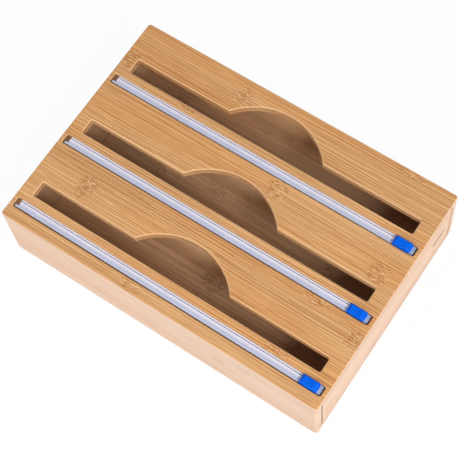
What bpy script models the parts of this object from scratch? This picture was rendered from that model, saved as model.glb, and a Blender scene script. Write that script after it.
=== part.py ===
# Bamboo kitchen box for three rolls of film, with a slide cutter in front of each slot.
# Metres, +Z up, front towards -Y. The origin is on the table, under the middle of the box.

import math

import bmesh
import bpy

# Box
LENGTH = 0.345
DEPTH = 0.239
BOX_HEIGHT = 0.079
WALL_THICKNESS = 0.008
TOP_THICKNESS = 0.008
FLOOR_THICKNESS = 0.008
DIVIDER_THICKNESS = 0.008
FRONT_DIVIDER_SHIFT = -0.0029
REAR_DIVIDER_SHIFT = 0.0019
CORNER_RADIUS = 0.003
TOP_EDGE_RADIUS = 0.0013
BASE_EDGE_RADIUS = 0.0012
GLUE_GAP = 0.0002
BAYS = ("front", "middle", "rear")

# Slots in the top board, measured from the front of each bay, a little left of the board's middle
SLOT_SETBACK = 0.0228
SLOT_WIDTH = 0.0157
SLOT_END_MARGIN = 0.0153
SLOT_SHIFT = -0.0008
SLOT_CORNER_RADIUS = 0.002
SLOT_EDGE_RADIUS = 0.0014
SLOT_EDGE_STEP = 0.0002
SLOT_LINE_HEIGHT = 0.0009
SLOT_LINE_DEPTH = 0.0007
CUTOUT_CHORD = 0.104
CUTOUT_DEPTH = 0.0257

# Grooves for the cutter rails, measured from the front of each bay
GROOVE_SETBACK = 0.0041
GROOVE_WIDTH = 0.0103
GROOVE_END_MARGIN = 0.0043
GROOVE_CORNER_RADIUS = 0.002
GROOVE_EDGE_RADIUS = 0.0008

# Cutter rail: an I section with a fine groove along its head for the blade, and a lip behind the head
RAIL_SHIFT = -0.00065
RAIL_LEFT_GAP = 0.0016
RAIL_RIGHT_GAP = 0.0018
RAIL_RECESS = 0.001
RAIL_UNDERCUT = 0.0004
RAIL_BASE_HEIGHT = 0.0008
RAIL_WEB_WIDTH = 0.004
RAIL_WEB_HEIGHT = 0.0012
RAIL_HEAD_WIDTH = 0.0064
RAIL_HEAD_HEIGHT = 0.0012
RAIL_NOTCH_LENGTH = 0.0033
RAIL_TONGUE_WIDTH = 0.0019
RAIL_STEP_LENGTH = 0.0033
RAIL_STEP_DROP = 0.002
RAIL_LIP_WIDTH = 0.0014
RAIL_LIP_DROP = 0.0002
RAIL_LAND_STEP = 0.0002
RAIL_DRAFT = 0.0001
RAIL_EDGE_CHAMFER = 0.0003
BLADE_GROOVE_OFFSET = -0.0003
BLADE_GROOVE_WIDTH = 0.0009
BLADE_GROOVE_DEPTH = 0.0004
TAPE_THICKNESS = 0.0004
SEAT_GAP = 0.0001

# Slider: a saddle that hooks under the rail's head, a blade and a cap to push
PARK_GAP = 0.0045
CAP_LENGTH = 0.01825
CAP_WIDTH = 0.0094
CAP_HEIGHT = 0.004
CAP_SHIFT = 0.0007
CAP_CORNER_RADIUS = 0.001
CAP_CHAMFER = 0.0017
CAP_WALL = 0.0014
CAP_LEFT_BEVEL = 0.0027
CAP_RIGHT_BEVEL = 0.0042
CAP_SIDE_BEVEL = 0.0015
CAP_EDGE_DROP = 0.0003
CAP_EDGE_SHARE = 0.85
CAP_DISH_INSET = 0.001
CAP_DISH_DEPTH = 0.0005
SADDLE_LENGTH = 0.016
SADDLE_WALL = 0.0005
SADDLE_ROOF = 0.0012
RUN_GAP = 0.00025
HOOK_GAP = 0.0004
BLADE_LENGTH = 0.008
BLADE_TIP_LENGTH = 0.003
BLADE_THICKNESS = 0.0004
BLADE_REACH = 0.0002
BLADE_TANG = 0.0022
BLADE_GAP = 0.0003

# End door, hung on two pins at its front end and held by magnets in the rear divider
DOOR_THICKNESS = 0.008
DOOR_GAP = 0.0016
DOOR_FRONT_RADIUS = 0.0008
DOOR_EDGE_RADIUS = 0.0005
PIVOT_INSET = 0.0025
PIN_DIAMETER = 0.002
PIN_IN_DOOR = 0.008
PIN_IN_TOP = 0.004
PIN_IN_FLOOR = 0.003
PIN_GAP = 0.0002
FINGER_LENGTH = 0.022
FINGER_HEIGHT = 0.007
FINGER_CORNER_RADIUS = 0.0034
FINGER_RISE = 0.0304
FINGER_BACK_MARGIN = 0.0084
FINGER_FLOOR = 0.003
MAGNET_WALL = 0.0012
MAGNET_THICKNESS = 0.0025
MAGNET_GAP = 0.0002
MAGNET_EDGE_MARGIN = 0.014

# Feet
FOOT_DIAMETER = 0.012
FOOT_HEIGHT = 0.002
FOOT_INSET = 0.024
FOOT_EDGE_RADIUS = 0.0006

# Places that several pieces share
RIGHT = LENGTH / 2
LEFT = -RIGHT
BACK = DEPTH / 2
FRONT = -BACK
FLOOR_TOP = FOOT_HEIGHT + FLOOR_THICKNESS
TOP = FOOT_HEIGHT + BOX_HEIGHT
UNDER_TOP = TOP - TOP_THICKNESS
BAY_DEPTH = (DEPTH - 2 * WALL_THICKNESS - (len(BAYS) - 1) * DIVIDER_THICKNESS) / len(BAYS)
BAY_PITCH = BAY_DEPTH + DIVIDER_THICKNESS
RAIL_HEIGHT = RAIL_BASE_HEIGHT + RAIL_WEB_HEIGHT + RAIL_HEAD_HEIGHT
RAIL_BOTTOM = TOP - RAIL_RECESS - RAIL_HEIGHT
GROOVE_BOTTOM = RAIL_BOTTOM - TAPE_THICKNESS - 2 * SEAT_GAP
GROOVE_LENGTH = LENGTH - 2 * GROOVE_END_MARGIN
RAIL_LENGTH = GROOVE_LENGTH - RAIL_LEFT_GAP - RAIL_RIGHT_GAP
RAIL_MIDDLE = (RAIL_LEFT_GAP - RAIL_RIGHT_GAP) / 2
RAIL_SLIT_WIDTH = SADDLE_WALL + 2 * RUN_GAP
RAIL_BASE_FRONT = RAIL_UNDERCUT - RAIL_HEAD_WIDTH / 2
RAIL_LIP_INSIDE = RAIL_HEAD_WIDTH / 2 + RAIL_SLIT_WIDTH
RAIL_BASE_BACK = RAIL_LIP_INSIDE + RAIL_LIP_WIDTH
SADDLE_WIDTH = RAIL_HEAD_WIDTH + 2 * (RUN_GAP + SADDLE_WALL)
SADDLE_TOP = RAIL_BOTTOM + RAIL_HEIGHT + RUN_GAP + SADDLE_ROOF
CAP_BOTTOM = SADDLE_TOP + SEAT_GAP
CAP_PLATE_SHIFT = (CAP_LEFT_BEVEL - CAP_RIGHT_BEVEL) / 2
PARK_X = RIGHT - GROOVE_END_MARGIN - PARK_GAP - CAP_LENGTH / 2
DOOR_INSIDE = RIGHT - DOOR_THICKNESS
DOOR_BOTTOM = FLOOR_TOP + DOOR_GAP
DOOR_TOP = UNDER_TOP - DOOR_GAP
DOOR_FRONT = FRONT + WALL_THICKNESS + DOOR_GAP
DOOR_BACK = BACK - WALL_THICKNESS - DOOR_GAP
DIVIDER_RIGHT = DOOR_INSIDE - DOOR_GAP
PIVOT = (RIGHT - PIVOT_INSET, DOOR_FRONT + PIVOT_INSET)
MAGNET_DIAMETER = DIVIDER_THICKNESS - 2 * (MAGNET_WALL + MAGNET_GAP)

# Turns a flat outline's own X, Y and Z to the world's Y, Z and X, or to its X, Z and -Y
ALONG_X = (math.radians(90), 0, math.radians(90))
ALONG_Y = (math.radians(90), 0, 0)
# Turns a round piece's own Z to the world's X
FACE_X = (0, math.radians(90), 0)
CUT_PAST = 0.002
DRAWN_SCALE = 1000
CORNER_STEPS = 5
CUTOUT_STEPS = 26
EDGE_STEPS = 3
FINE_EDGE_STEPS = 2
PIN_SIDES = 20
FOOT_SIDES = 32
DISH_SIDES = 160
SMOOTH_ANGLE = math.radians(35)


def bay_front(bay):
    return FRONT + WALL_THICKNESS + BAYS.index(bay) * BAY_PITCH


def groove_line(bay):
    return bay_front(bay) + GROOVE_SETBACK + GROOVE_WIDTH / 2


# The middle of the rail's head, which the slider runs along
def rail_line(bay):
    return groove_line(bay) + RAIL_SHIFT


def clear_scene():
    for item in list(bpy.data.objects):
        bpy.data.objects.remove(item, do_unlink=True)
    for name in ("film_dispenser", "cutters"):
        group = bpy.data.collections.new(name)
        bpy.context.scene.collection.children.link(group)
    return bpy.data.collections["film_dispenser"], bpy.data.collections["cutters"]


PARTS, CUTTERS = clear_scene()


def finish(name, colour, roughness, metallic=0.0):
    material = bpy.data.materials.new(name)
    material.use_nodes = True
    shader = material.node_tree.nodes["Principled BSDF"]
    shader.inputs["Base Color"].default_value = (*colour, 1.0)
    shader.inputs["Roughness"].default_value = roughness
    shader.inputs["Metallic"].default_value = metallic
    material.diffuse_color = (*colour, 1.0)
    return material


BAMBOO_TOP = finish("bamboo_top", (0.60, 0.33, 0.14), 0.5)
BAMBOO_SIDE = finish("bamboo_side", (0.82, 0.60, 0.42), 0.55)
BAMBOO_INSIDE = finish("bamboo_inside", (0.48, 0.27, 0.13), 0.6)
RAIL_PLASTIC = finish("milky_plastic", (0.72, 0.74, 0.84), 0.25)
TAPE_FOAM = finish("white_tape", (0.85, 0.85, 0.83), 0.8)
BLUE_PLASTIC = finish("blue_plastic", (0.0, 0.15, 0.90), 0.3)
BLADE_STEEL = finish("blade_steel", (0.65, 0.66, 0.68), 0.2, 1.0)
PIN_STEEL = finish("pin_steel", (0.55, 0.55, 0.56), 0.3, 1.0)
MAGNET_NICKEL = finish("magnet_nickel", (0.70, 0.69, 0.66), 0.2, 1.0)
FOOT_RUBBER = finish("foot_rubber", (0.05, 0.05, 0.05), 0.8)


def add(name, mesh, place=(0, 0, 0), turn=(0, 0, 0), material=None, parent=None):
    item = bpy.data.objects.new(name, mesh)
    item.location = place
    item.rotation_euler = turn
    item.parent = parent
    if material:
        mesh.materials.append(material)
        PARTS.objects.link(item)
    else:
        item.hide_render = True
        item.display_type = "WIRE"
        CUTTERS.objects.link(item)
    return item


def smooth(item):
    item.data.shade_smooth()
    item.data.set_sharp_from_angle(angle=SMOOTH_ANGLE)


def mesh_of(name, shape):
    mesh = bpy.data.meshes.new(name)
    bmesh.ops.recalc_face_normals(shape, faces=shape.faces)
    shape.to_mesh(mesh)
    shape.free()
    return mesh


# A block between two corners, its mesh measured from the place given
def block_mesh(name, low, high, place=(0, 0, 0)):
    shape = bmesh.new()
    bmesh.ops.create_cube(shape, size=1)
    for vert in shape.verts:
        for i in range(3):
            vert.co[i] = (low[i] if vert.co[i] < 0 else high[i]) - place[i]
    return mesh_of(name, shape)


def block(name, low, high, material=None):
    place = [(a + b) / 2 for a, b in zip(low, high)]
    return add(name, block_mesh(name, low, high, place), place, material=material)


# A cylinder along its own Z, between two heights measured from the place given
def cylinder(name, diameter, low, high, place, turn=(0, 0, 0), material=None, parent=None, sides=PIN_SIDES):
    shape = bmesh.new()
    radius = diameter / 2
    depth = high - low
    bmesh.ops.create_cone(shape, cap_ends=True, segments=sides, radius1=radius, radius2=radius, depth=depth)
    bmesh.ops.translate(shape, verts=shape.verts, vec=(0, 0, (low + high) / 2))
    item = add(name, mesh_of(name, shape), place, turn, material, parent)
    smooth(item)
    return item


# A flat outline drawn large as a filled curve, then made a welded mesh at size, thick along its own Z
def outline_mesh(name, points, thickness):
    curve = bpy.data.curves.new(name, "CURVE")
    curve.dimensions = "2D"
    curve.fill_mode = "BOTH"
    curve.extrude = thickness / 2 * DRAWN_SCALE
    spline = curve.splines.new("POLY")
    spline.points.add(len(points) - 1)
    for spot, (x, y) in zip(spline.points, points):
        spot.co = (x * DRAWN_SCALE, y * DRAWN_SCALE, 0, 1)
    spline.use_cyclic_u = True
    drawn = bpy.data.objects.new(name, curve)
    CUTTERS.objects.link(drawn)
    graph = bpy.context.evaluated_depsgraph_get()
    mesh = bpy.data.meshes.new_from_object(drawn.evaluated_get(graph))
    bpy.data.objects.remove(drawn, do_unlink=True)
    shape = bmesh.new()
    shape.from_mesh(mesh)
    bpy.data.meshes.remove(mesh)
    bmesh.ops.remove_doubles(shape, verts=shape.verts, dist=0.001)
    bmesh.ops.scale(shape, verts=shape.verts, vec=[1 / DRAWN_SCALE] * 3)
    return mesh_of(name, shape)


# A solid through outlines with equal numbers of points, each at its own height
def loft_mesh(name, levels):
    shape = bmesh.new()
    rings = [[shape.verts.new((x, y, z)) for x, y in points] for points, z in levels]
    count = len(rings[0])
    for lower, upper in zip(rings, rings[1:]):
        for i in range(count):
            shape.faces.new((lower[i], lower[(i + 1) % count], upper[(i + 1) % count], upper[i]))
    caps = [shape.faces.new(rings[0]), shape.faces.new(rings[-1])]
    bmesh.ops.triangulate(shape, faces=caps)
    return mesh_of(name, shape)


def arc(centre, radius, start, end, steps):
    turns = [start + (end - start) * i / steps for i in range(steps + 1)]
    return [(centre[0] + radius * math.cos(a), centre[1] + radius * math.sin(a)) for a in turns]


def rounded_rectangle(length, width, radius, steps=CORNER_STEPS):
    x = length / 2 - radius
    y = width / 2 - radius
    points = []
    for i, centre in enumerate(((x, y), (-x, y), (-x, -y), (x, -y))):
        points += arc(centre, radius, i * math.pi / 2, (i + 1) * math.pi / 2, steps)
    return points


def round_edges(item, chosen, radius, steps=EDGE_STEPS):
    shape = bmesh.new()
    shape.from_mesh(item.data)
    edges = [edge for edge in shape.edges if chosen(*(vert.co for vert in edge.verts))]
    bmesh.ops.bevel(shape, geom=edges, offset=radius, segments=steps, profile=0.5, affect="EDGES")
    shape.to_mesh(item.data)
    shape.free()


def cut(item, cutter):
    modifier = item.modifiers.new(cutter.name, "BOOLEAN")
    modifier.operation = "DIFFERENCE"
    modifier.solver = "EXACT"
    modifier.object = cutter


def same(a, b):
    return abs(a - b) < 1e-6


def upright(a, b):
    return same(a.x, b.x) and same(a.y, b.y)


# Margins and heights of a quarter round that rolls outwards to the level given
def rolled_edge(radius, level):
    turns = [math.pi / 2 * i / EDGE_STEPS for i in range(EDGE_STEPS + 1)]
    return [(radius * (1 - math.cos(a)), level - radius * (1 - math.sin(a))) for a in turns]


# Slot outline about the slot's own middle, grown outwards by a margin, with the finger cut-out behind
def slot_outline(margin):
    x = LENGTH / 2 - SLOT_END_MARGIN - SLOT_CORNER_RADIUS
    y = SLOT_WIDTH / 2 - SLOT_CORNER_RADIUS
    corner = SLOT_CORNER_RADIUS + margin
    back = SLOT_WIDTH / 2 + margin
    radius = (CUTOUT_CHORD**2 / 4 + CUTOUT_DEPTH**2) / (2 * CUTOUT_DEPTH)
    centre = (0, SLOT_WIDTH / 2 + CUTOUT_DEPTH - radius)
    start = math.asin((back - centre[1]) / (radius + margin))
    points = arc((-x, -y), corner, math.pi, 1.5 * math.pi, CORNER_STEPS)
    points += arc((x, -y), corner, 1.5 * math.pi, 2 * math.pi, CORNER_STEPS)
    points += arc((x, y), corner, 0, 0.5 * math.pi, CORNER_STEPS)
    points += arc(centre, radius + margin, start, math.pi - start, CUTOUT_STEPS)
    points += arc((-x, y), corner, 0.5 * math.pi, math.pi, CORNER_STEPS)
    return points


# The slot's wall rises to a fine sunk line, rolls outwards above it and ends in a small square step
def slot_cutter(bay):
    edge = rolled_edge(SLOT_EDGE_RADIUS, TOP - SLOT_EDGE_STEP)
    line_top = edge[0][1]
    line_low = line_top - SLOT_LINE_HEIGHT
    steps = [(0, UNDER_TOP - CUT_PAST), (0, line_low), (SLOT_LINE_DEPTH, line_low)]
    steps += [(SLOT_LINE_DEPTH, line_top), *edge, (SLOT_EDGE_RADIUS, TOP + CUT_PAST)]
    mesh = loft_mesh(f"cut_slot_{bay}", [(slot_outline(margin), z) for margin, z in steps])
    middle = bay_front(bay) + SLOT_SETBACK + SLOT_WIDTH / 2
    return add(f"cut_slot_{bay}", mesh, (SLOT_SHIFT, middle, 0))


def groove_outline(margin):
    size = (GROOVE_LENGTH + 2 * margin, GROOVE_WIDTH + 2 * margin)
    return rounded_rectangle(*size, GROOVE_CORNER_RADIUS + margin)


# The groove's wall rises straight and rolls outwards at the top
def groove_cutter(bay):
    steps = [(0, GROOVE_BOTTOM), *rolled_edge(GROOVE_EDGE_RADIUS, TOP)]
    steps += [(GROOVE_EDGE_RADIUS, TOP + CUT_PAST)]
    mesh = loft_mesh(f"cut_groove_{bay}", [(groove_outline(margin), z) for margin, z in steps])
    return add(f"cut_groove_{bay}", mesh, (0, groove_line(bay), 0))


def make_top_board():
    top = block("top_board", (LEFT, FRONT, UNDER_TOP), (RIGHT, BACK, TOP), BAMBOO_TOP)
    round_edges(top, upright, CORNER_RADIUS, CORNER_STEPS)
    upper = TOP_THICKNESS / 2
    round_edges(top, lambda a, b: same(a.z, upper) and same(b.z, upper), TOP_EDGE_RADIUS)
    smooth(top)
    for bay in BAYS:
        cut(top, slot_cutter(bay))
        cut(top, groove_cutter(bay))
    bore = PIN_DIAMETER + 2 * PIN_GAP
    cut(top, cylinder("cut_pin_top", bore, -CUT_PAST, PIN_IN_TOP + PIN_GAP, (*PIVOT, UNDER_TOP)))


# Front and back boards run the whole length, with rounded ends that follow the top board's corners
def make_long_board(name, outside):
    inside = outside - math.copysign(WALL_THICKNESS, outside)
    low = (LEFT, min(inside, outside), FOOT_HEIGHT)
    high = (RIGHT, max(inside, outside), UNDER_TOP - GLUE_GAP)
    board = block(name, low, high, BAMBOO_SIDE)
    face = math.copysign(WALL_THICKNESS / 2, outside)
    foot = -(high[2] - low[2]) / 2
    round_edges(board, lambda a, b: upright(a, b) and same(a.y, face), CORNER_RADIUS, CORNER_STEPS)

    def below_and_outside(a, b):
        inner = same(a.y, -face) and same(b.y, -face)
        return same(a.z, foot) and same(b.z, foot) and not inner

    round_edges(board, below_and_outside, BASE_EDGE_RADIUS, FINE_EDGE_STEPS)
    smooth(board)


def make_box():
    make_top_board()
    make_long_board("front_board", FRONT)
    make_long_board("back_board", BACK)
    inner_front = FRONT + WALL_THICKNESS + GLUE_GAP
    inner_back = BACK - WALL_THICKNESS - GLUE_GAP
    inner_left = LEFT + WALL_THICKNESS
    low = (LEFT, inner_front, FOOT_HEIGHT)
    high = (inner_left, inner_back, UNDER_TOP - GLUE_GAP)
    left = block("left_end_board", low, high, BAMBOO_SIDE)
    round_edges(left, lambda a, b: max(a.z, b.z, a.x, b.x) < 0, BASE_EDGE_RADIUS, FINE_EDGE_STEPS)
    low = (inner_left + GLUE_GAP, inner_front, FOOT_HEIGHT)
    floor = block("floor_board", low, (RIGHT, inner_back, FLOOR_TOP), BAMBOO_INSIDE)
    round_edges(floor, lambda a, b: max(a.z, b.z, -a.x, -b.x) < 0, BASE_EDGE_RADIUS, FINE_EDGE_STEPS)
    bore = PIN_DIAMETER + 2 * PIN_GAP
    cut(floor, cylinder("cut_pin_floor", bore, -PIN_IN_FLOOR - PIN_GAP, CUT_PAST, (*PIVOT, FLOOR_TOP)))


# The front faces of the two dividers, which stand a little off an even spacing
def divider_faces():
    shifts = {"front": FRONT_DIVIDER_SHIFT, "rear": REAR_DIVIDER_SHIFT}
    faces = {}
    for name, bay in zip(shifts, BAYS[1:]):
        faces[name] = bay_front(bay) - DIVIDER_THICKNESS + shifts[name]
    return faces


# Heights of the magnets' middles, and the line that they lie on, in the rear divider
def magnet_places():
    line = divider_faces()["rear"] + DIVIDER_THICKNESS / 2
    heights = {"upper": UNDER_TOP - MAGNET_EDGE_MARGIN, "lower": FLOOR_TOP + MAGNET_EDGE_MARGIN}
    return {name: (line, height) for name, height in heights.items()}


def make_dividers():
    bore = MAGNET_DIAMETER + 2 * MAGNET_GAP
    depth = MAGNET_THICKNESS + 2 * MAGNET_GAP
    dividers = {}
    for name, face in divider_faces().items():
        low = (LEFT + WALL_THICKNESS + GLUE_GAP, face, FLOOR_TOP + GLUE_GAP)
        high = (DIVIDER_RIGHT, face + DIVIDER_THICKNESS, UNDER_TOP - GLUE_GAP)
        dividers[name] = block(f"divider_{name}", low, high, BAMBOO_INSIDE)
    for name, (line, height) in magnet_places().items():
        seat = (DIVIDER_RIGHT, line, height)
        hole = cylinder(f"cut_divider_{name}", bore, -depth, CUT_PAST, seat, FACE_X)
        cut(dividers["rear"], hole)
        inside = (MAGNET_GAP - depth, -MAGNET_GAP)
        cylinder(f"divider_magnet_{name}", MAGNET_DIAMETER, *inside, seat, FACE_X, MAGNET_NICKEL)


# The door's origin is on its pivot line, at the height of its lower edge
def make_door():
    place = (*PIVOT, DOOR_BOTTOM)
    height = DOOR_TOP - DOOR_BOTTOM
    low = (DOOR_INSIDE, DOOR_FRONT, DOOR_BOTTOM)
    high = (RIGHT, DOOR_BACK, DOOR_TOP)
    door = add("end_door", block_mesh("end_door", low, high, place), place, material=BAMBOO_SIDE)
    round_edges(door, lambda a, b: upright(a, b) and a.x > 0 and a.y < 0, DOOR_FRONT_RADIUS, EDGE_STEPS)

    def outside(a, b):
        return same(a.x, PIVOT_INSET) and same(b.x, PIVOT_INSET)

    round_edges(door, outside, DOOR_EDGE_RADIUS, FINE_EDGE_STEPS)
    smooth(door)
    depth = DOOR_THICKNESS - FINGER_FLOOR + CUT_PAST
    outline = rounded_rectangle(FINGER_LENGTH, FINGER_HEIGHT, FINGER_CORNER_RADIUS)
    middle = DOOR_BACK - FINGER_BACK_MARGIN - FINGER_LENGTH / 2
    spot = (DOOR_INSIDE + FINGER_FLOOR + depth / 2, middle, DOOR_BOTTOM + FINGER_RISE)
    cut(door, add("cut_finger", outline_mesh("cut_finger", outline, depth), spot, ALONG_X))
    bore = PIN_DIAMETER + 2 * PIN_GAP
    for name, local, way, reach in (("upper", height, 1, PIN_IN_TOP), ("lower", 0, -1, PIN_IN_FLOOR)):
        inside = sorted((local - way * (PIN_IN_DOOR + PIN_GAP), local + way * CUT_PAST))
        cut(door, cylinder(f"cut_door_pin_{name}", bore, *inside, place))
        span = sorted((local - way * PIN_IN_DOOR, local + way * (DOOR_GAP + reach)))
        cylinder(f"pivot_pin_{name}", PIN_DIAMETER, *span, (0, 0, 0), material=PIN_STEEL, parent=door)
    bore = MAGNET_DIAMETER + 2 * MAGNET_GAP
    depth = MAGNET_THICKNESS + 2 * MAGNET_GAP
    for name, (line, level) in magnet_places().items():
        seat = (DOOR_INSIDE, line, level)
        cut(door, cylinder(f"cut_door_{name}", bore, -CUT_PAST, depth, seat, FACE_X))
        inside = (MAGNET_GAP, depth - MAGNET_GAP)
        seat = [seat[i] - place[i] for i in range(3)]
        cylinder(f"door_magnet_{name}", MAGNET_DIAMETER, *inside, seat, FACE_X, MAGNET_NICKEL, door)


# Rail section, from the middle of its head and up from its base, read from the back to the front:
# lip, slit, head with a blade groove, undercut base. The land in front of the groove is a little lower.
def rail_section():
    web = RAIL_WEB_WIDTH / 2
    head = RAIL_HEAD_WIDTH / 2
    soft = RAIL_EDGE_CHAMFER
    lip = RAIL_HEIGHT - RAIL_LIP_DROP
    base = RAIL_BASE_HEIGHT - RAIL_DRAFT
    under_head = RAIL_BASE_HEIGHT + RAIL_WEB_HEIGHT
    head_edge = under_head + RAIL_DRAFT
    front_land = RAIL_HEIGHT - RAIL_LAND_STEP
    groove_floor = front_land - BLADE_GROOVE_DEPTH
    groove_back = BLADE_GROOVE_OFFSET + BLADE_GROOVE_WIDTH / 2
    groove_front = BLADE_GROOVE_OFFSET - BLADE_GROOVE_WIDTH / 2
    points = [(RAIL_BASE_BACK, 0), (RAIL_BASE_BACK, lip - soft), (RAIL_BASE_BACK - soft, lip)]
    points += [(RAIL_LIP_INSIDE, lip), (RAIL_LIP_INSIDE, base), (web, RAIL_BASE_HEIGHT), (web, under_head)]
    points += [(head, head_edge), (head, RAIL_HEIGHT - soft), (head - soft, RAIL_HEIGHT)]
    points += [(groove_back, RAIL_HEIGHT), (BLADE_GROOVE_OFFSET, groove_floor), (groove_front, front_land)]
    points += [(soft - head, front_land), (-head, front_land - soft), (-head, head_edge)]
    points += [(-web, under_head), (-web, RAIL_BASE_HEIGHT)]
    return points + [(RAIL_BASE_FRONT, base), (RAIL_BASE_FRONT, 0)]


# Saddle section: a roof over the rail's head and two legs whose hooks reach under it
def saddle_section():
    outer = SADDLE_WIDTH / 2
    inner = outer - SADDLE_WALL
    hook = RAIL_WEB_WIDTH / 2 + HOOK_GAP
    roof_top = SADDLE_TOP - RAIL_BOTTOM
    roof_under = roof_top - SADDLE_ROOF
    hook_top = RAIL_BASE_HEIGHT + RAIL_WEB_HEIGHT - RUN_GAP
    hook_under = RAIL_BASE_HEIGHT + RUN_GAP
    back = [(inner, roof_under), (inner, hook_top), (hook, hook_top)]
    back += [(hook, hook_under), (outer, hook_under), (outer, roof_top)]
    return back + [(-y, z) for y, z in reversed(back)]


def make_rail(bay):
    line = rail_line(bay)
    left = RAIL_MIDDLE - RAIL_LENGTH / 2
    right = RAIL_MIDDLE + RAIL_LENGTH / 2
    rail = add(
        f"cutter_rail_{bay}",
        outline_mesh(f"cutter_rail_{bay}", rail_section(), RAIL_LENGTH),
        (RAIL_MIDDLE, line, RAIL_BOTTOM),
        ALONG_X,
        RAIL_PLASTIC,
    )
    tongue = line - RAIL_HEAD_WIDTH / 2 + RAIL_TONGUE_WIDTH
    past = line + RAIL_BASE_BACK + CUT_PAST
    low = (left - CUT_PAST, tongue, RAIL_BOTTOM - CUT_PAST)
    high = (left + RAIL_NOTCH_LENGTH, past, TOP + CUT_PAST)
    cut(rail, block(f"cut_notch_{bay}", low, high))
    low = (right - RAIL_STEP_LENGTH, line - RAIL_HEAD_WIDTH, RAIL_BOTTOM + RAIL_HEIGHT - RAIL_STEP_DROP)
    high = (right + CUT_PAST, past, TOP + CUT_PAST)
    cut(rail, block(f"cut_step_{bay}", low, high))
    low = (left + RAIL_NOTCH_LENGTH, line + RAIL_BASE_FRONT, GROOVE_BOTTOM + SEAT_GAP)
    high = (right, line + RAIL_BASE_BACK, RAIL_BOTTOM - SEAT_GAP)
    block(f"rail_tape_{bay}", low, high, TAPE_FOAM)


# Cap outline: rounded corners, and a chamfer on the back corner at the parked end
def cap_outline(share):
    x = CAP_LENGTH / 2
    y = CAP_WIDTH / 2
    radius = CAP_CORNER_RADIUS
    points = [(x - CAP_CHAMFER, y)]
    points += arc((radius - x, y - radius), radius, math.pi / 2, math.pi, EDGE_STEPS)
    points += arc((radius - x, radius - y), radius, math.pi, 1.5 * math.pi, EDGE_STEPS)
    points += arc((x - radius, radius - y), radius, 1.5 * math.pi, 2 * math.pi, EDGE_STEPS)
    points += [(x, y - CAP_CHAMFER)]
    long = 1 - share * (CAP_LEFT_BEVEL + CAP_RIGHT_BEVEL) / CAP_LENGTH
    wide = 1 - share * 2 * CAP_SIDE_BEVEL / CAP_WIDTH
    return [(px * long + share * CAP_PLATE_SHIFT, py * wide + CAP_SHIFT) for px, py in points]


# The slider's parent empty is on the rail's line, at the rail's base, where the slider is parked
def make_slider(bay):
    carrier = bpy.data.objects.new(f"slider_{bay}", None)
    carrier.location = (PARK_X, rail_line(bay), RAIL_BOTTOM)
    PARTS.objects.link(carrier)
    cap_low = CAP_BOTTOM - RAIL_BOTTOM
    cap_high = cap_low + CAP_HEIGHT
    land = RAIL_HEIGHT - RAIL_LAND_STEP

    saddle = add(
        f"slider_saddle_{bay}",
        outline_mesh(f"slider_saddle_{bay}", saddle_section(), SADDLE_LENGTH),
        turn=ALONG_X,
        material=BLUE_PLASTIC,
        parent=carrier,
    )
    long = BLADE_LENGTH / 2 + BLADE_GAP
    wide = BLADE_THICKNESS / 2 + BLADE_GAP
    low = (-long, BLADE_GROOVE_OFFSET - wide, land)
    high = (long, BLADE_GROOVE_OFFSET + wide, cap_low + BLADE_TANG + BLADE_GAP)
    window = add(f"cut_window_{bay}", block_mesh(f"cut_window_{bay}", low, high), parent=carrier)
    cut(saddle, window)

    steps = [(0, cap_low), (0, cap_low + CAP_WALL)]
    steps += [(CAP_EDGE_SHARE, cap_high - CAP_EDGE_DROP), (1, cap_high)]
    name = f"slider_cap_{bay}"
    mesh = loft_mesh(name, [(cap_outline(share), z) for share, z in steps])
    cap = add(name, mesh, material=BLUE_PLASTIC, parent=carrier)
    smooth(cap)
    cut(cap, window)
    chord = CAP_LENGTH - CAP_LEFT_BEVEL - CAP_RIGHT_BEVEL - 2 * CAP_DISH_INSET
    radius = (chord**2 / 4 + CAP_DISH_DEPTH**2) / (2 * CAP_DISH_DEPTH)
    dish = cylinder(
        f"cut_dish_{bay}",
        2 * radius,
        -CAP_WIDTH,
        CAP_WIDTH,
        (CAP_PLATE_SHIFT, 0, cap_high - CAP_DISH_DEPTH + radius),
        ALONG_Y,
        parent=carrier,
        sides=DISH_SIDES,
    )
    cut(cap, dish)

    tip = land - BLADE_REACH
    tang = cap_low + BLADE_TANG
    half = BLADE_LENGTH / 2
    shoulder = SADDLE_TOP - RAIL_BOTTOM - SADDLE_ROOF
    side = [(BLADE_TIP_LENGTH / 2, tip), (half, shoulder), (half, tang)]
    outline = side + [(-x, z) for x, z in reversed(side)]
    add(
        f"slider_blade_{bay}",
        outline_mesh(f"slider_blade_{bay}", outline, BLADE_THICKNESS),
        (0, BLADE_GROOVE_OFFSET, 0),
        ALONG_Y,
        material=BLADE_STEEL,
        parent=carrier,
    )


def make_feet():
    for side, y in (("front", FRONT + FOOT_INSET), ("back", BACK - FOOT_INSET)):
        for end, x in (("left", LEFT + FOOT_INSET), ("right", RIGHT - FOOT_INSET)):
            foot = cylinder(
                f"foot_{side}_{end}",
                FOOT_DIAMETER,
                0,
                FOOT_HEIGHT - GLUE_GAP,
                (x, y, 0),
                material=FOOT_RUBBER,
                sides=FOOT_SIDES,
            )
            round_edges(foot, lambda a, b: same(a.z, 0) and same(b.z, 0), FOOT_EDGE_RADIUS, FINE_EDGE_STEPS)
            smooth(foot)


make_box()
make_dividers()
make_door()
for place in BAYS:
    make_rail(place)
    make_slider(place)
make_feet()
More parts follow.
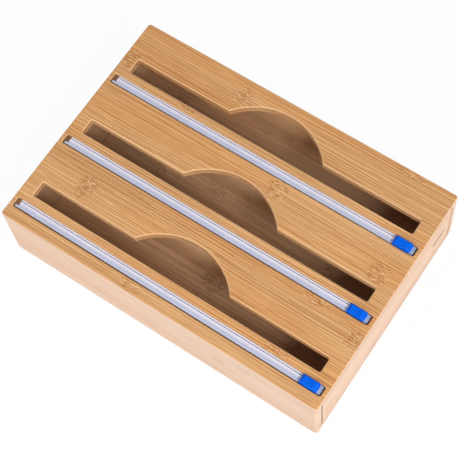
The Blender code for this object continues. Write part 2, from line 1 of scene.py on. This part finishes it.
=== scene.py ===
import math
import bpy
import mathutils
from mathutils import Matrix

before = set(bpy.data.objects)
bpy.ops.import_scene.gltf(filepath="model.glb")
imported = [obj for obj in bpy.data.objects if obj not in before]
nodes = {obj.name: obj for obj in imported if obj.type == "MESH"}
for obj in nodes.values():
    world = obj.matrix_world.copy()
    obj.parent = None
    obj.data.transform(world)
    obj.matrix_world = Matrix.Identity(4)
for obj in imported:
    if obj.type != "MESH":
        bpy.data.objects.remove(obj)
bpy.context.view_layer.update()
rowPitch = 0.077  # from one slot to the next
bpy.ops.object.select_all(action="DESELECT")
print("frame loaded with", len(nodes), "nodes")


def newMaterial(name):
    material = bpy.data.materials.new(name)
    material.use_nodes = True
    return material, material.node_tree, material.node_tree.nodes["Principled BSDF"]


def newGroup(name, inputs, outputs):
    tree = bpy.data.node_groups.new(name, "ShaderNodeTree")
    for label, kind, value in inputs:
        socket = tree.interface.new_socket(label, in_out="INPUT", socket_type="NodeSocket" + kind)
        socket.default_value = value
    for label, kind in outputs:
        tree.interface.new_socket(label, in_out="OUTPUT", socket_type="NodeSocket" + kind)
    return tree, tree.nodes.new("NodeGroupInput").outputs, tree.nodes.new("NodeGroupOutput").inputs


def feed(tree, socket, value):  # a socket is linked, anything else is its value
    if isinstance(value, bpy.types.NodeSocket):
        tree.links.new(value, socket)
    else:
        socket.default_value = value


def add(tree, kind, feeds=None, **settings):
    node = tree.nodes.new("ShaderNode" + kind)
    for key, value in settings.items():
        setattr(node, key, value)
    for label, value in (feeds or {}).items():
        feed(tree, node.inputs[label], value)
    return node


def calc(tree, operation, first, second=None, third=None):
    feeds = {spot: value for spot, value in enumerate((first, second, third)) if value is not None}
    return add(tree, "Math", feeds, operation=operation).outputs[0]


def calcVector(tree, operation, first, second):
    return add(tree, "VectorMath", {0: first, 1: second}, operation=operation).outputs[0]


def split(tree, vector):
    return add(tree, "SeparateXYZ", {0: vector}).outputs


def ramp(tree, value, fromLow, fromHigh, toLow=0.0, toHigh=1.0):  # eased step between two values
    feeds = {"Value": value, "From Min": fromLow, "From Max": fromHigh, "To Min": toLow, "To Max": toHigh}
    return add(tree, "MapRange", feeds, interpolation_type="SMOOTHSTEP").outputs["Result"]


def blendColour(tree, factor, first, second, how="MIX"):
    node = add(tree, "Mix", data_type="RGBA", blend_type=how)
    for spot, value in ((0, factor), (6, first), (7, second)):
        feed(tree, node.inputs[spot], value)
    return node.outputs[2]


def streaks(tree, vector, scale, detail, roughness=0.55, distortion=0.0):
    feeds = {"Vector": calcVector(tree, "MULTIPLY", vector, scale), "Scale": 1.0, "Detail": detail}
    feeds.update({"Roughness": roughness, "Distortion": distortion})
    return add(tree, "TexNoise", feeds).outputs[0]


def place(group, tree, **values):
    node = tree.nodes.new("ShaderNodeGroup")
    node.node_tree = group
    for label, value in values.items():
        feed(tree, node.inputs[label.replace("_", " ")], value)
    return node.outputs


curlLook = {  # waves per metre along and across the grain, and the levels of the noise that show as lines
    "scale": (100, 480, 480), "distortion": 0.6, "zone": (1.0, 0.45),
    "lines": (("Strokes", 0.5, 0.065), ("Gleams", 0.60, 0.045)),
}
knuckleOutputs = [("Strokes", "Float"), ("Gleams", "Float"), ("Zone", "Float")]


def addCurls(tree, given, out, along, across):  # brown and pale strokes that fade out round a middle
    spread = calc(tree, "MULTIPLY_ADD", along, along, calc(tree, "MULTIPLY", across, across))
    zone = ramp(tree, spread, *curlLook["zone"])
    curls = streaks(tree, given["Grain"], curlLook["scale"], 2.0, distortion=curlLook["distortion"])
    for label, level, width in curlLook["lines"]:
        gap = calc(tree, "ABSOLUTE", calc(tree, "SUBTRACT", curls, level))
        feed(tree, out[label], calc(tree, "MULTIPLY", ramp(tree, gap, width, 0.0), zone))
    feed(tree, out["Zone"], zone)
    return tree


def makeKnuckle():  # one joint of the cane
    inputs = [("Grain", "Vector", (0, 0, 0)), ("Centre", "Vector", (0, 0, 0))]
    inputs += [("Half Length", "Float", 0.008), ("Half Width", "Float", 0.012)]
    tree, given, out = newGroup("bambooKnuckle", inputs, knuckleOutputs)
    near = split(tree, calcVector(tree, "SUBTRACT", given["Grain"], given["Centre"]))
    along = calc(tree, "DIVIDE", near[0], given["Half Length"])
    across = calc(tree, "DIVIDE", near[1], given["Half Width"])
    return addCurls(tree, given, out, along, across)


knuckleRow = {"spacing": 0.29, "halfLength": 0.008, "squeeze": 2.1}  # squeeze keeps them inside their strips


def makeKnuckleRow():  # joints scattered along the strips of a whole board
    inputs = [("Grain", "Vector", (0, 0, 0)), ("Strip Width", "Float", 0.02), ("Spacing", "Float", 0.26)]
    tree, given, out = newGroup("bambooKnuckleRow", inputs, knuckleOutputs)
    axes = split(tree, given["Grain"])
    strip = calc(tree, "DIVIDE", axes[1], given["Strip Width"])
    shift = add(tree, "TexWhiteNoise", {"W": calc(tree, "FLOOR", strip)}, noise_dimensions="1D").outputs[0]
    step = calc(tree, "ADD", calc(tree, "DIVIDE", axes[0], given["Spacing"]), shift)
    along = calc(tree, "SUBTRACT", calc(tree, "FRACT", step), 0.5)
    along = calc(tree, "DIVIDE", calc(tree, "MULTIPLY", along, given["Spacing"]), knuckleRow["halfLength"])
    across = calc(tree, "SUBTRACT", calc(tree, "FRACT", strip), 0.5)
    across = calc(tree, "MULTIPLY", across, knuckleRow["squeeze"])
    return addCurls(tree, given, out, along, across)


grainLook = {  # waves per metre along, across and through the grain, and how much each pattern counts
    "sway": (5, 16, 16), "curl": (90, 70, 70), "swayReach": 0.006,  # how far the fibres wander, in metres
    "fibre": (5, 1250, 1250), "fine": (28, 1700, 1700), "fineShare": 1.5,
    "linesPerMetre": 1350.0, "dashesPerMetre": 9.0, "linesShare": 1.12, "besideShare": 0.6,
    "broad": (2.6, 45, 45), "broadShare": 0.55, "level": 0.56,
    "warmth": (4, 38, 38), "warmFrom": (0.42, 0.62), "warmTint": (1.0, 0.925, 0.84, 1),
    "vessels": (4, 1100, 1100), "vesselsFrom": (0.5, 0.62), "vesselsShare": -0.12,
    "flecks": (60, 1100, 1100), "flecksFrom": (0.66, 0.78), "flecksShare": 0.4,
    "seamFrom": (0.484, 0.5), "seamShare": 0.2, "strokesShare": 0.78, "gleamsShare": 0.7,
    "seamRelief": -0.35, "strokesRelief": -0.3, "shine": (0.22, 0.36),
}


def dashTone(tree, line, along):  # one level for each dash of a line of fibres
    start = add(tree, "TexWhiteNoise", {"W": line}, noise_dimensions="1D").outputs[0]
    dashes = grainLook["dashesPerMetre"]
    dash = calc(tree, "MULTIPLY_ADD", start, dashes, calc(tree, "MULTIPLY", along, dashes))
    spot = add(tree, "CombineXYZ", {0: line, 1: calc(tree, "FLOOR", dash)}).outputs[0]
    return add(tree, "TexWhiteNoise", {"Vector": spot}, noise_dimensions="2D").outputs[0]


def makeGrain():  # the colour, sheen and relief of planed bamboo, with the grain along X
    inputs = [("Grain", "Vector", (0, 0, 0))]
    inputs += [("Pale", "Color", (1, 1, 1, 1)), ("Deep", "Color", (0, 0, 0, 1))]
    inputs += [("Brown", "Color", (0.5, 0.2, 0.06, 1)), ("Gleam", "Color", (0.8, 0.5, 0.3, 1))]
    inputs += [("Strip Width", "Float", 0.02), ("Strip Tone", "Float", 0.3), ("Fibre", "Float", 1.0)]
    inputs += [(label, "Float", 0.0) for label in ("Strokes", "Gleams", "Zone", "Sawn")]
    outputs = [("Color", "Color"), ("Roughness", "Float"), ("Height", "Float")]
    tree, given, out = newGroup("bambooGrain", inputs, outputs)
    look = grainLook
    axes = split(tree, given["Grain"])
    sway = calc(tree, "SUBTRACT", streaks(tree, given["Grain"], look["sway"], 2.0), 0.5)
    sway = calc(tree, "MULTIPLY", sway, look["swayReach"])
    curl = calc(tree, "SUBTRACT", streaks(tree, given["Grain"], look["curl"], 1.0), 0.5)
    sway = calc(tree, "MULTIPLY_ADD", calc(tree, "MULTIPLY", curl, given["Zone"]), look["swayReach"], sway)
    across = calc(tree, "ADD", axes[1], sway)
    vector = add(tree, "CombineXYZ", {0: axes[0], 1: across, 2: axes[2]}).outputs[0]
    fibre = streaks(tree, vector, look["fibre"], 1.0)
    fine = streaks(tree, vector, look["fine"], 1.0)
    line = calc(tree, "MULTIPLY", calc(tree, "ADD", across, axes[2]), look["linesPerMetre"])
    line = calc(tree, "FLOOR", line)
    lines = calc(tree, "ADD", dashTone(tree, line, axes[0]), look["besideShare"] / 2)
    beside = dashTone(tree, calc(tree, "ADD", line, 1.0), axes[0])
    lines = calc(tree, "MULTIPLY_ADD", beside, -look["besideShare"], lines)  # neighbours differ and stay fine
    broad = streaks(tree, vector, look["broad"], 1.0)
    warmth = streaks(tree, vector, look["warmth"], 0.6)
    vessels = ramp(tree, streaks(tree, vector, look["vessels"], 1.0), *look["vesselsFrom"])
    strip = calc(tree, "DIVIDE", axes[1], given["Strip Width"])
    tone = add(tree, "TexWhiteNoise", {"W": calc(tree, "FLOOR", strip)}, noise_dimensions="1D").outputs[0]
    mix, longShare = look["level"], look["linesShare"]
    weights = [(fibre, given["Fibre"]), (fine, look["fineShare"]), (broad, look["broadShare"])]
    weights.append((tone, given["Strip Tone"]))
    longLines = calc(tree, "MULTIPLY_ADD", given["Sawn"], -longShare, longShare)  # none on end grain
    weights.append((lines, longLines))
    for part, weight in weights:
        mix = calc(tree, "MULTIPLY_ADD", calc(tree, "SUBTRACT", part, 0.5), weight, mix)
    vesselsShare = calc(tree, "MULTIPLY", given["Fibre"], look["vesselsShare"])
    mix = calc(tree, "MULTIPLY_ADD", vessels, vesselsShare, mix)
    colour = blendColour(tree, mix, given["Deep"], given["Pale"])
    warm = ramp(tree, warmth, *look["warmFrom"])
    colour = blendColour(tree, warm, colour, look["warmTint"], "MULTIPLY")
    edge = calc(tree, "ABSOLUTE", calc(tree, "SUBTRACT", calc(tree, "FRACT", strip), 0.5))
    seam = ramp(tree, edge, *look["seamFrom"])
    flecks = ramp(tree, streaks(tree, vector, look["flecks"], 1.0), *look["flecksFrom"])
    dark = calc(tree, "MULTIPLY", seam, look["seamShare"])
    for part, share in ((flecks, look["flecksShare"]), (given["Strokes"], look["strokesShare"])):
        dark = calc(tree, "MAXIMUM", dark, calc(tree, "MULTIPLY", part, share))
    colour = blendColour(tree, dark, colour, given["Brown"])
    gleams = calc(tree, "MULTIPLY", given["Gleams"], look["gleamsShare"])
    colour = blendColour(tree, gleams, colour, given["Gleam"])
    relief = calc(tree, "MULTIPLY_ADD", seam, look["seamRelief"], fibre)
    relief = calc(tree, "MULTIPLY_ADD", given["Strokes"], look["strokesRelief"], relief)
    feed(tree, out["Color"], colour)
    feed(tree, out["Roughness"], calc(tree, "MULTIPLY_ADD", fibre, *look["shine"]))
    feed(tree, out["Height"], relief)
    return tree


knuckleGroup, knuckleRowGroup, grainGroup = makeKnuckle(), makeKnuckleRow(), makeGrain()
stripWidth = 0.0195  # the planed strips that the boards are glued up from
woods = {  # the lightest and darkest fibres of each finish, and the marks of its joints
    "top": {
        "pale": (0.818, 0.475, 0.213, 1), "deep": (0.484, 0.219, 0.078, 1), "fibre": 0.75, "tone": 0.15,
        "brown": (0.37, 0.12, 0.028, 1), "gleam": (0.93, 0.62, 0.33, 1),
    },
    # paler than the top: partly the boards' own tone, partly painted sheen of the upright faces
    "outside": {
        "pale": (0.848, 0.608, 0.455, 1), "deep": (0.657, 0.434, 0.298, 1), "fibre": 1.2, "tone": 0.25,
        "brown": (0.52, 0.29, 0.16, 1), "gleam": (0.84, 0.64, 0.48, 1),
    },
    # painted light: a paler copy of the bamboo for the dividers and inner faces, for the light that reaches
    # them
    "litInside": {
        "pale": (0.90, 0.60, 0.345, 1), "deep": (0.66, 0.40, 0.21, 1),
        "brown": (0.36, 0.17, 0.07, 1), "gleam": (0.70, 0.44, 0.26, 1),
    },
    # painted shade: a darker copy of the bamboo for the floor and the inner faces of the ends
    "floor": {
        "pale": (0.60, 0.368, 0.218, 1), "deep": (0.38, 0.22, 0.115, 1),
        "brown": (0.25, 0.115, 0.055, 1), "gleam": (0.62, 0.38, 0.24, 1),
    },
}
boards = {  # how the grain is turned and shifted, and the copy of the wood on the faces inside: painted light for the long boards, painted shade for the ends and floor
    "bambooAlong": ((-90, 0, 0), (0.11, 0.006, 0.02), "litInside"),
    "bambooAcross": ((-90, 90, 0), (0.37, 0.011, 0.05), "floor"),
    "bambooFloor": ((0, 0, 0), (0.07, 0.11, 0.02), "floor"),
}
routedLineShade = {  # painted shade in the routed line round the slots
    "low": 0.0782, "high": 0.0795, "fade": 0.0002, "colour": (0.21, 0.105, 0.05, 1), "share": 0.36,
}
outline = {  # where the outer faces and the end grain begin, from the middle of the box
    "ends": 0.1683, "sides": 0.1155, "blend": 0.0003, "sawn": (0.1719, 0.1723),
}
topSkin = {  # heights between which the oil ends and the painted highlight on the lips of the cuts lies
    "oil": (0.0809, 0.0801), "cutShare": 0.12,
    "highlightTop": (0.0809, 0.0806), "highlightFoot": (0.0796, 0.08), "lipHighlightShare": 0.6,
}
woodSheen = {"relief": 0.25, "reliefDepth": 0.0003, "specular": 0.3}
groove = {  # the rails' beds, painted dark as the shade in the grooves, less so in the notch at their left ends
    "line": -0.1017, "half": 0.0056, "sideFade": 0.0003, "top": 0.0797, "topFade": 0.0004, "share": 0.85,
    "notch": (-0.1666, -0.1633), "fade": 0.0008, "pale": 0.4,
}
doorShade = {  # where the door's rims begin, and the painted shade on them that darkens the gaps round the door
    "end": 0.1096, "top": 0.0711, "foot": 0.0119, "colour": (0.17, 0.08, 0.035, 1),
    "face": 0.1721, "pull": (0.0905, 0.042), "reach": (0.0085, 0.0036), "share": 0.45,  # the finger recess, which is painted darker as shade
    "recess": 0.0006, "inner": (0.165, 0.167), "fade": 0.0002, "rightHalf": (0.0, 0.01),
}
knuckles = {  # x and y of the joints of the cane that show, half the length of each and half its width
    "bambooTop": [
        (-0.048, 0.101, 0.013, 0.012), (0.125, 0.116, 0.018, 0.005), (0.030, 0.0375, 0.012, 0.012),
        (0.151, 0.0165, 0.013, 0.012), (-0.121, -0.054, 0.011, 0.017), (0.165, -0.049, 0.009, 0.012),
        (-0.029, -0.112, 0.013, 0.008), (0.117, -0.034, 0.016, 0.006), (0.113, -0.0925, 0.014, 0.006),
        (-0.084, 0.064, 0.015, 0.005), (-0.164, 0.077, 0.009, 0.014),
    ],
    "bambooFloor": [
        (-0.0385, 0.0325, 0.012, 0.009), (0.0125, -0.05, 0.014, 0.012), (-0.101, 0.0175, 0.011, 0.009),
    ],
}


def rowOffset(tree, along, line):  # how far behind the nearest of three equal lines
    turn = calc(tree, "DIVIDE", calc(tree, "SUBTRACT", along, line - rowPitch / 2), rowPitch)
    return calc(tree, "MULTIPLY", calc(tree, "SUBTRACT", calc(tree, "FRACT", turn), 0.5), rowPitch)


def finishBamboo(tree, shader, wood, grain, marks, other, share, paintedShade, shadeColour):
    values = {"Grain": grain, "Fibre": wood["fibre"], "Strip_Width": stripWidth, "Strip_Tone": wood["tone"]}
    for label in ("pale", "deep", "brown", "gleam"):  # share goes over to the other wood
        values[label.title()] = blendColour(tree, share, wood[label], other[label])
    made = place(grainGroup, tree, **values, **marks)
    feeds = {"Strength": woodSheen["relief"], "Distance": woodSheen["reliefDepth"]}
    bump = add(tree, "Bump", {"Height": made["Height"], **feeds})
    feed(tree, shader.inputs["Base Color"], blendColour(tree, paintedShade, made["Color"], shadeColour))
    feed(tree, shader.inputs["Roughness"], made["Roughness"])
    feed(tree, shader.inputs["Normal"], bump.outputs[0])
    shader.inputs["Specular IOR Level"].default_value = woodSheen["specular"]


def outerShare(tree, point):  # 1 on the faces round the outside of the box
    axes = split(tree, point)
    ends = calc(tree, "SUBTRACT", calc(tree, "ABSOLUTE", axes[0]), outline["ends"])
    sides = calc(tree, "SUBTRACT", calc(tree, "ABSOLUTE", axes[1]), outline["sides"])
    return ramp(tree, calc(tree, "MAXIMUM", ends, sides), -outline["blend"], outline["blend"])


def sawnShare(tree, point):  # 1 on the end grain at both ends of the box
    ends = calc(tree, "ABSOLUTE", split(tree, point)[0])
    return ramp(tree, ends, *outline["sawn"])


def doorGapShade(tree, point):  # 1 where shade is painted: on the sawn edges of the door, for the dark gaps round it, and in its finger recess
    axes = split(tree, point)
    past = calc(tree, "SUBTRACT", calc(tree, "MULTIPLY", axes[1], -1.0), doorShade["end"])
    past = calc(tree, "MAXIMUM", past, calc(tree, "SUBTRACT", axes[2], doorShade["top"]))
    past = calc(tree, "MAXIMUM", past, calc(tree, "SUBTRACT", doorShade["foot"], axes[2]))
    door = ramp(tree, axes[0], *doorShade["rightHalf"])  # 0 on the left end board
    rimShade = calc(tree, "MULTIPLY", ramp(tree, past, 0.0, doorShade["fade"]), door)
    face, recess = doorShade["face"], doorShade["recess"]
    # painted shade inside the finger recess
    pull = ramp(tree, axes[0], face, face - recess, 0.0, doorShade["share"])
    for axis, middle, reach in zip((1, 2), doorShade["pull"], doorShade["reach"]):
        gap = calc(tree, "ABSOLUTE", calc(tree, "SUBTRACT", axes[axis], middle))
        pull = calc(tree, "MULTIPLY", pull, ramp(tree, gap, reach + doorShade["fade"], reach))
    pull = calc(tree, "MULTIPLY", pull, ramp(tree, axes[0], *doorShade["inner"]))
    return calc(tree, "MAXIMUM", rimShade, pull)


def addKnuckles(tree, point, marks, spots):
    for x, y, halfLength, halfWidth in spots:
        sizes = {"Half_Length": halfLength, "Half_Width": halfWidth}
        knuckle = place(knuckleGroup, tree, Grain=point, Centre=(x, y, 0), **sizes)
        marks = {label: calc(tree, "MAXIMUM", marks[label], knuckle[label]) for label in marks}
    return marks


def makeTopWood(name):  # oiled on the top, pale as the other boards round its edges, a paleness that is partly painted sheen
    material, tree, shader = newMaterial(name)
    grain = add(tree, "TexCoord").outputs["Object"]
    marks = addKnuckles(tree, grain, {"Strokes": 0.0, "Gleams": 0.0, "Zone": 0.0}, knuckles[name])
    marks["Sawn"] = sawnShare(tree, grain)
    axes, outer = split(tree, grain), outerShare(tree, grain)
    height = axes[2]
    share = ramp(tree, outer, 0, 1, topSkin["cutShare"], 1.0)
    share = calc(tree, "MULTIPLY", ramp(tree, height, *topSkin["oil"]), share)
    lipHighlight = ramp(tree, height, *topSkin["highlightTop"])
    lipHighlight = calc(tree, "MULTIPLY", lipHighlight, ramp(tree, height, *topSkin["highlightFoot"]))
    lipHighlightShare = ramp(tree, outer, 0, 1, topSkin["lipHighlightShare"], 0.0)
    lipHighlight = calc(tree, "MULTIPLY", lipHighlight, lipHighlightShare)  # painted highlight on the rounded edges of the cuts
    marks["Gleams"] = calc(tree, "MAXIMUM", marks["Gleams"], lipHighlight)
    # painted shade: a darker band on the slot walls, at the routed line
    low, high, fade = routedLineShade["low"], routedLineShade["high"], routedLineShade["fade"]
    lineShade = calc(tree, "MULTIPLY", ramp(tree, height, low - fade, low), ramp(tree, height, high + fade, high))
    paintedShade = calc(tree, "MULTIPLY", lineShade, ramp(tree, outer, 0, 1, routedLineShade["share"], 0.0))
    # painted shade in the grooves under the rails
    away = calc(tree, "ABSOLUTE", rowOffset(tree, axes[1], groove["line"]))
    bedShade = ramp(tree, height, groove["top"] + groove["topFade"], groove["top"], 0.0, groove["share"])
    within = ramp(tree, away, groove["half"] + groove["sideFade"], groove["half"])
    for part in (within, ramp(tree, outer, 0, 1, 1.0, 0.0)):
        bedShade = calc(tree, "MULTIPLY", bedShade, part)
    start, end = groove["notch"]
    notch = ramp(tree, axes[0], start - groove["fade"], start)
    notch = calc(tree, "MULTIPLY", notch, ramp(tree, axes[0], end + groove["fade"], end))
    bedShade = calc(tree, "MULTIPLY", bedShade, ramp(tree, notch, 0, 1, 1.0, groove["pale"]))
    paintedShade = calc(tree, "MAXIMUM", paintedShade, bedShade)  # painted shade: what is routed is painted darker
    finishBamboo(tree, shader, woods["top"], grain, marks, woods["outside"], share, paintedShade, routedLineShade["colour"])
    return material


def makeBoardWood(name, turn, shift, within):
    material, tree, shader = newMaterial(name)
    point = add(tree, "TexCoord").outputs["Object"]
    feeds = {"Vector": point, "Location": shift, "Rotation": [math.radians(a) for a in turn]}
    grain = add(tree, "Mapping", feeds).outputs[0]
    row = place(knuckleRowGroup, tree, Grain=grain, Strip_Width=stripWidth, Spacing=knuckleRow["spacing"])
    marks = {label: row[label] for label in ("Strokes", "Gleams", "Zone")}
    marks = addKnuckles(tree, point, marks, knuckles.get(name, []))
    door = name == "bambooAcross"  # its outer face is long grain
    marks["Sawn"] = 0.0 if door else sawnShare(tree, point)
    share = calc(tree, "SUBTRACT", 1.0, outerShare(tree, point))
    # painted shade on the door's edges and in its finger recess
    paintedShade = doorGapShade(tree, point) if door else 0.0
    outer, inner = woods["outside"], woods[within]
    finishBamboo(tree, shader, outer, grain, marks, inner, share, paintedShade, doorShade["colour"])
    return material


finishes = {"bambooTop": makeTopWood("bambooTop")}
for name, (turn, shift, within) in boards.items():
    finishes[name] = makeBoardWood(name, turn, shift, within)
print("bamboo made:", len(finishes), "finishes")


def makeMottle():  # slow clouding and fine moulding texture
    inputs = [("Color", "Color", (1, 1, 1, 1)), ("Cloud", "Float", 0.06), ("Cloud Scale", "Float", 60.0)]
    inputs += [("Grain Scale", "Float", 2500.0), ("Shine", "Float", 0.3), ("Shine Change", "Float", 0.1)]
    outputs = [("Color", "Color"), ("Roughness", "Float"), ("Height", "Float")]
    tree, given, out = newGroup("mouldedMottle", inputs, outputs)
    point = add(tree, "TexCoord").outputs["Object"]
    cloud = add(tree, "TexNoise", {"Vector": point, "Scale": given["Cloud Scale"], "Detail": 3.0}).outputs[0]
    fine = add(tree, "TexNoise", {"Vector": point, "Scale": given["Grain Scale"], "Detail": 2.0}).outputs[0]
    change = calc(tree, "SUBTRACT", cloud, 0.5)
    level = calc(tree, "MULTIPLY_ADD", change, calc(tree, "MULTIPLY", given["Cloud"], 2.0), 1.0)
    scaled = add(tree, "VectorMath", {0: given["Color"], "Scale": level}, operation="SCALE").outputs[0]
    feed(tree, out["Color"], scaled)
    feed(tree, out["Roughness"], calc(tree, "MULTIPLY_ADD", change, given["Shine Change"], given["Shine"]))
    feed(tree, out["Height"], fine)
    return tree


mottleGroup = makeMottle()
mouldSheen = {"shineChange": 0.12, "reliefDepth": 0.0001}
mouldings = {  # colour, clouding, roughness, relief, and what else is set on the shader
    "milkyPlastic": ((0.80, 0.775, 0.87, 1), 0.06, 0.34, 0.05, {"Specular IOR Level": 0.3}),
    "bluePlastic": ((0.0010, 0.125, 0.78, 1), 0.05, 0.28, 0.06, {"Specular IOR Level": 0.06}),
    "whiteTape": ((0.74, 0.74, 0.72, 1), 0.05, 0.7, 0.2, {}),
    "bladeSteel": ((0.60, 0.61, 0.63, 1), 0.06, 0.24, 0.1, {"Metallic": 1.0}),
    "pinSteel": ((0.53, 0.53, 0.54, 1), 0.08, 0.32, 0.1, {"Metallic": 1.0}),
    "magnetNickel": ((0.70, 0.68, 0.64, 1), 0.06, 0.16, 0.05, {"Metallic": 1.0}),
    "footRubber": ((0.045, 0.045, 0.048, 1), 0.15, 0.72, 0.5, {}),
}
# painted shade on the rail's front land, and a painted reflection of the slider on its end
railTone = {
    "front": (0.545, 0.565, 0.70, 1), "middle": -0.10235, "from": -0.0008, "to": 0.0018,
    "stubReflection": (0.45, 0.54, 0.76, 1), "glow": (0.1555, 0.1575),  # painted reflection: the rail's end beside the slider is painted with the slider's blue
}


def frontTone(tree, colour):  # painted shade: the land in front of the blade groove is greyer than the one behind it
    axes = split(tree, add(tree, "TexCoord").outputs["Object"])
    offset = rowOffset(tree, axes[1], railTone["middle"])
    behind = ramp(tree, offset, railTone["from"], railTone["to"])
    tinted = blendColour(tree, behind, railTone["front"], colour)
    # painted reflection of the slider's blue on the rail's end
    return blendColour(tree, ramp(tree, axes[0], *railTone["glow"]), tinted, railTone["stubReflection"])


for name, (colour, cloud, shine, relief, sockets) in mouldings.items():
    finishes[name], tree, shader = newMaterial(name)
    tinted = frontTone(tree, colour) if name == "milkyPlastic" else colour
    values = {"Cloud": cloud, "Shine": shine, "Shine_Change": mouldSheen["shineChange"]}
    made = place(mottleGroup, tree, Color=tinted, **values)
    feeds = {"Strength": relief, "Distance": mouldSheen["reliefDepth"]}
    bump = add(tree, "Bump", {"Height": made["Height"], **feeds})
    feed(tree, shader.inputs["Base Color"], made["Color"])
    feed(tree, shader.inputs["Roughness"], made["Roughness"])
    feed(tree, shader.inputs["Normal"], bump.outputs[0])
    for label, value in sockets.items():
        shader.inputs[label].default_value = value
print("finishes made:", len(finishes))

nodeFinish = {}
familyFinish = {
    "top_board": "bambooTop", "front_board": "bambooAlong", "back_board": "bambooAlong",
    "left_end_board": "bambooAcross", "end_door": "bambooAcross", "floor_board": "bambooFloor",
    "divider_front": "bambooAlong", "divider_rear": "bambooAlong",
    "cutter_rail": "milkyPlastic", "rail_tape": "whiteTape", "slider_cap": "bluePlastic",
    "slider_saddle": "bluePlastic", "slider_blade": "bladeSteel", "pivot_pin": "pinSteel",
    "door_magnet": "magnetNickel", "divider_magnet": "magnetNickel", "foot": "footRubber",
}
for name, node in nodes.items():
    for family, finish in familyFinish.items():
        if name.startswith(family):
            nodeFinish[name] = finish
    node.data.materials.clear()
    node.data.materials.append(finishes[nodeFinish[name]])
print("painted", len(nodeFinish), "of", len(nodes), "nodes")

stageSettings = {
    "floorSize": 14.0, "floorColour": (0.95, 0.95, 0.95, 1), "shadowShare": 0.05, "skyLight": 0.37,
}


def seenShare(tree):  # 1 for rays that show the background
    path = add(tree, "LightPath").outputs
    shown = calc(tree, "MAXIMUM", path["Is Camera Ray"], path["Is Glossy Ray"])
    return calc(tree, "MAXIMUM", shown, path["Is Transmission Ray"])


bpy.ops.mesh.primitive_plane_add(size=stageSettings["floorSize"], location=(0, 0, 0))
floor = bpy.context.object
floor.name = "floor"
floorPaint, tree, shader = newMaterial("floorPaint")
shader.inputs["Base Color"].default_value = stageSettings["floorColour"]
shader.inputs["Roughness"].default_value = 1.0
shader.inputs["Specular IOR Level"].default_value = 0.0
glow = add(tree, "Emission", {"Color": (1, 1, 1, 1), "Strength": 1.0})
lit = calc(tree, "MULTIPLY", seenShare(tree), 1.0 - stageSettings["shadowShare"])
mixed = add(tree, "MixShader", {0: lit, 1: shader.outputs[0], 2: glow.outputs[0]})
feed(tree, tree.nodes["Material Output"].inputs["Surface"], mixed.outputs[0])
floor.data.materials.append(floorPaint)

world = bpy.data.worlds.new("studio")
bpy.context.scene.world = world
world.use_nodes = True
sky = world.node_tree.nodes["Background"]
sky.inputs["Color"].default_value = (1, 1, 1, 1)
skyLevel = ramp(world.node_tree, seenShare(world.node_tree), 0, 1, stageSettings["skyLight"], 1.0)
feed(world.node_tree, sky.inputs["Strength"], skyLevel)

lamps = {  # where each softbox stands, its size and its power
    "keyBox": ((1.74, -0.83, 1.95), 0.8, 43.5),
    "frontBox": ((-0.4, -1.1, 0.78), 0.8, 5.85),
    "sideBox": ((1.3, 0.1, 0.35), 0.8, 2.55),
}
lampTarget = mathutils.Vector((0, 0, 0.05))
for name, (spot, size, power) in lamps.items():
    bpy.ops.object.light_add(type="AREA", location=spot)
    light = bpy.context.object
    light.name = name
    light.data.shape, light.data.size, light.data.energy = "SQUARE", size, power
    away = light.location - lampTarget
    light.rotation_euler = away.to_track_quat("Z", "Y").to_euler()

view = {
    "place": (0.34458, -0.38619, 1.22023), "turn": (23.1514, 3.4284, 33.9811),
    "lens": 107.35, "sensor": 36.0, "near": 0.05, "far": 40.0,
}
bpy.ops.object.camera_add(location=view["place"], rotation=[math.radians(a) for a in view["turn"]])
camera = bpy.context.object
camera.data.lens, camera.data.sensor_width = view["lens"], view["sensor"]
camera.data.clip_start, camera.data.clip_end = view["near"], view["far"]
bpy.context.scene.camera = camera
bpy.context.scene.view_settings.view_transform = "Standard"
print("floor, lamps and camera set")
